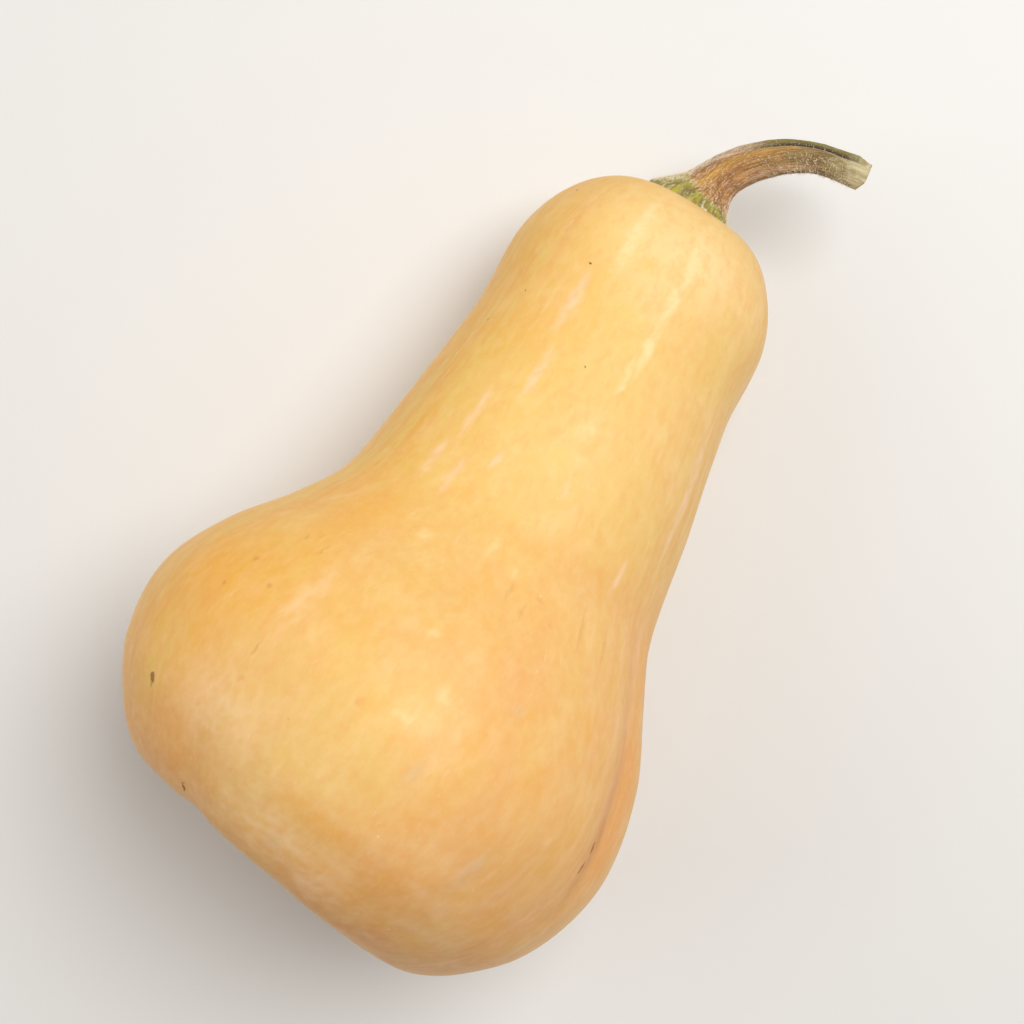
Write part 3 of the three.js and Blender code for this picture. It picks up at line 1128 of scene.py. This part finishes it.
def area_light(name, place, target, size, power):
    light = bpy.data.lights.new(name, "AREA")
    light.shape = "DISK"
    light.size = size
    light.energy = power
    lamp = bpy.data.objects.new(name, light)
    lamp.location = place
    lamp.rotation_euler = (Vector(target) - Vector(place)).to_track_quat("-Z", "Y").to_euler()
    bpy.context.scene.collection.objects.link(lamp)


# Settings


def length(name, description, millimetres, least=0.0):
    return bpy.props.FloatProperty(
        name=name, description=description, default=millimetres * MM, min=least * MM, unit="LENGTH"
    )


def strength(name, description, most):
    return bpy.props.FloatProperty(name=name, description=description, default=1, min=0, max=most)


def count(name, description, number, least):
    return bpy.props.IntProperty(name=name, description=description, default=number, min=least)


def tone(name, description, code):
    return bpy.props.FloatVectorProperty(
        name=name, description=description, subtype="COLOR", min=0, max=1, default=linear(code)
    )


class FruitSettings(bpy.types.PropertyGroup):
    """Sizes and colours of the fruit."""

    bulb_radius: length("Bulb Radius", "Half the width of the bulb", BULB_RADIUS, 20)
    unevenness: strength("Unevenness", "Strength of the low, soft dents", 3)
    rings: count("Rings", "Rings of faces", 270, 40)
    sides: count("Sides", "Faces in a ring", 300, 40)
    straw: tone("Straw", "Colour of the neck", "EDC57B")
    peach: tone("Peach", "Colour of the bulb", "E9B16F")
    honey: tone("Honey", "Colour of the left flank", "EBAA3A")
    tan: tone("Tan", "Colour of the right flank", "EAA75B")
    rust: tone("Rust", "Colour of the blossom end", "E59B5A")
    green: tone("Green", "Faint greenish patches and lines", "E7C467")
    cream: tone("Cream", "Pale streaks and the shoulder", "F8DBA2")
    fleck: tone("Fleck", "Pinkish dashes and patches", "F4CBA0")
    grey: tone("Grey", "Greyish patches", "D2B399")
    bruise: tone("Bruise", "Faint brown marks and creases", "C47C40")
    cork: tone("Cork", "Corky marks and the blossom scar", "96602F")
    dark: tone("Dark", "Dark dots", "4A3420")


class StemSettings(bpy.types.PropertyGroup):
    """Sizes and colours of the stem."""

    radius: length("Radius", "Half the stem's thickness above the collar", STEM_RADIUS, 2)
    collar_radius: length("Collar Radius", "Half the width of the flared foot", COLLAR_RADIUS, 4)
    roughness: strength("Roughness", "Strength of fibres and lumps", 2)
    rings: count("Rings", "Rings of faces", 220, 20)
    sides: count("Sides", "Faces in a ring", 180, 12)
    ochre: tone("Ochre", "Bark near the neck", "B8813F")
    khaki: tone("Khaki", "Bark further out", "93814A")
    brown: tone("Brown", "Dark streaks", "74492A")
    pink: tone("Pink", "Pinkish streaks and the inner side", "DCB08A")
    gold: tone("Gold", "Band below the upper rib", "CC9A42")
    olive: tone("Olive", "Upper rib and dark parts of the collar", "8A8038")
    collar: tone("Collar", "Green collar", "B9B044")
    husk: tone("Husk", "Bark at the cut", "DCD0A4")
    cut: tone("Cut", "Cut face and pale streaks", "F3E9C6")
    hair: tone("Hair", "Silvery down", "D6C8B2")
    dark: tone("Dark", "Bottom of the furrows", "3A2C16")


class BristleSettings(bpy.types.PropertyGroup):
    """Number, size and colour of the bristles."""

    density: count("Density", "Bristles on a square millimetre at most", 14, 0)
    mean_length: length("Length", "Mean length", 1.1)
    thickness: length("Thickness", "At the foot", 0.12)
    seed: count("Seed", "Seed of the scatter", 4, 0)
    hair: tone("Hair", "Colour of the bristles", "EFE2C8")


# Operators


class SQUASH_OT_fruit(bpy.types.Operator):
    """Grows the fruit's skin round its core"""

    bl_idname = "squash.fruit"
    bl_label = "Fruit"

    def execute(self, context):
        settings = context.scene.squash_fruit
        values = {
            "Rings": settings.rings,
            "Sides": settings.sides,
            "Lying Turn": LYING_TURN,
            "Bulb Radius": settings.bulb_radius / MM,
            "Flatness": FLATNESS,
            "Unevenness": settings.unevenness,
            "Furrow Width": float(FURROW_WIDTH),
            "Skin": skin_material(settings, shader_groups()),
        }
        outline = polyline("half outline", [(x, y, 0) for x, y in smooth_line(OUTLINE, OUTLINE_STEPS)])
        fruit = grown("squash_fruit", outline, fruit_tree(settings), values)
        lay_on_node(fruit, "fruit")
        settle(fruit, "skin", "fruit")
        return {"FINISHED"}


class SQUASH_OT_stem(bpy.types.Operator):
    """Grows the ribbed stem with its collar and its cut"""

    bl_idname = "squash.stem"
    bl_label = "Stem"

    def execute(self, context):
        settings = context.scene.squash_stem
        values = {
            "Rings": settings.rings,
            "Sides": settings.sides,
            "Lying Turn": LYING_TURN,
            "Radius": settings.radius / MM,
            "Collar Radius": settings.collar_radius / MM,
            "Roughness": settings.roughness,
            "Bark": bark_material(settings, shader_groups()),
        }
        line = polyline("stem line", smooth_line(STEM_LINE, STEM_STEPS))
        stem = grown("squash_stem", line, stem_tree(settings), values)
        lay_on_node(stem, "stem")
        settle(stem, "dry_stem", "stem")
        return {"FINISHED"}


class SQUASH_OT_bristles(bpy.types.Operator):
    """Sets short bristles on the stem"""

    bl_idname = "squash.bristles"
    bl_label = "Bristles"

    def execute(self, context):
        settings = context.scene.squash_bristles
        stem = bpy.data.objects["squash_stem"]
        values = {
            "Per Square Millimetre": float(settings.density),
            "Length": settings.mean_length / MM,
            "Thickness": settings.thickness / MM,
            "Seed": settings.seed,
            "Hair": bristle_material(settings),
        }
        bristles = grown("squash_bristles", stem.data.copy(), bristle_tree(), values)
        settle(bristles, "dry_stem")
        return {"FINISHED"}


class SQUASH_OT_stage(bpy.types.Operator):
    """Sets up the pale floor, the soft light and the camera above"""

    bl_idname = "squash.stage"
    bl_label = "Stage"

    def execute(self, context):
        scene = context.scene
        bpy.ops.mesh.primitive_plane_add(size=FLOOR_SIZE)
        floor = context.object
        floor.name = "floor"
        material, shader = new_material("pale floor")
        shader.inputs["Base Color"].default_value = (0.8, 0.79, 0.77, 1)
        shader.inputs["Roughness"].default_value = 0.8
        floor.data.materials.append(material)
        middle = (0, 0, 0.05)
        area_light("main light", (0.43, -0.16, 1.0), middle, 0.7, 9.35)
        area_light("fill light", (-0.34, 1.0, 0.7), middle, 1.2, 4.25)
        world = bpy.data.worlds.new("soft room")
        world.use_nodes = True
        background = next(n for n in world.node_tree.nodes if n.type == "BACKGROUND")
        background.inputs["Color"].default_value = (1, 0.96, 0.9, 1)
        background.inputs["Strength"].default_value = 0.32
        scene.world = world
        camera = bpy.data.objects.new("camera", bpy.data.cameras.new("camera"))
        camera.data.lens = CAMERA_LENS
        camera.data.clip_start = 0.01
        camera.location = (*CAMERA_PLACE, CAMERA_HEIGHT)
        camera.rotation_euler = (0, 0, math.radians(CAMERA_ROLL))
        scene.collection.objects.link(camera)
        scene.camera = camera
        scene.view_settings.view_transform = "Standard"
        return {"FINISHED"}


def shader_groups():
    """Shader groups that the materials share, made once."""
    makers = {
        "streaks": ("grown streaks", streak_group),
        "specks": ("specks", speck_group),
    }
    groups = {}
    for key, (name, make) in makers.items():
        groups[key] = bpy.data.node_groups.get(name) or make()
    return groups


class SQUASH_PT_pieces(bpy.types.Panel):
    """Lists the squash's pieces"""

    bl_label = "Squash"
    bl_space_type = "VIEW_3D"
    bl_region_type = "UI"
    bl_category = "Squash"

    def draw(self, context):
        for piece in OPERATORS:
            self.layout.operator(piece.bl_idname)


SETTINGS = {
    "squash_fruit": FruitSettings,
    "squash_stem": StemSettings,
    "squash_bristles": BristleSettings,
}
OPERATORS = (SQUASH_OT_fruit, SQUASH_OT_stem, SQUASH_OT_bristles, SQUASH_OT_stage)


def register():
    for name, settings in SETTINGS.items():
        bpy.utils.register_class(settings)
        setattr(bpy.types.Scene, name, bpy.props.PointerProperty(type=settings))
    for cls in (*OPERATORS, SQUASH_PT_pieces):
        bpy.utils.register_class(cls)


def unregister():
    for cls in (SQUASH_PT_pieces, *reversed(OPERATORS)):
        bpy.utils.unregister_class(cls)
    for name, settings in reversed(SETTINGS.items()):
        delattr(bpy.types.Scene, name)
        bpy.utils.unregister_class(settings)


def main():
    register()
    bpy.ops.squash.stage()
    bpy.ops.squash.fruit()
    bpy.ops.squash.stem()
    bpy.ops.squash.bristles()


if __name__ == "__main__":
    main()
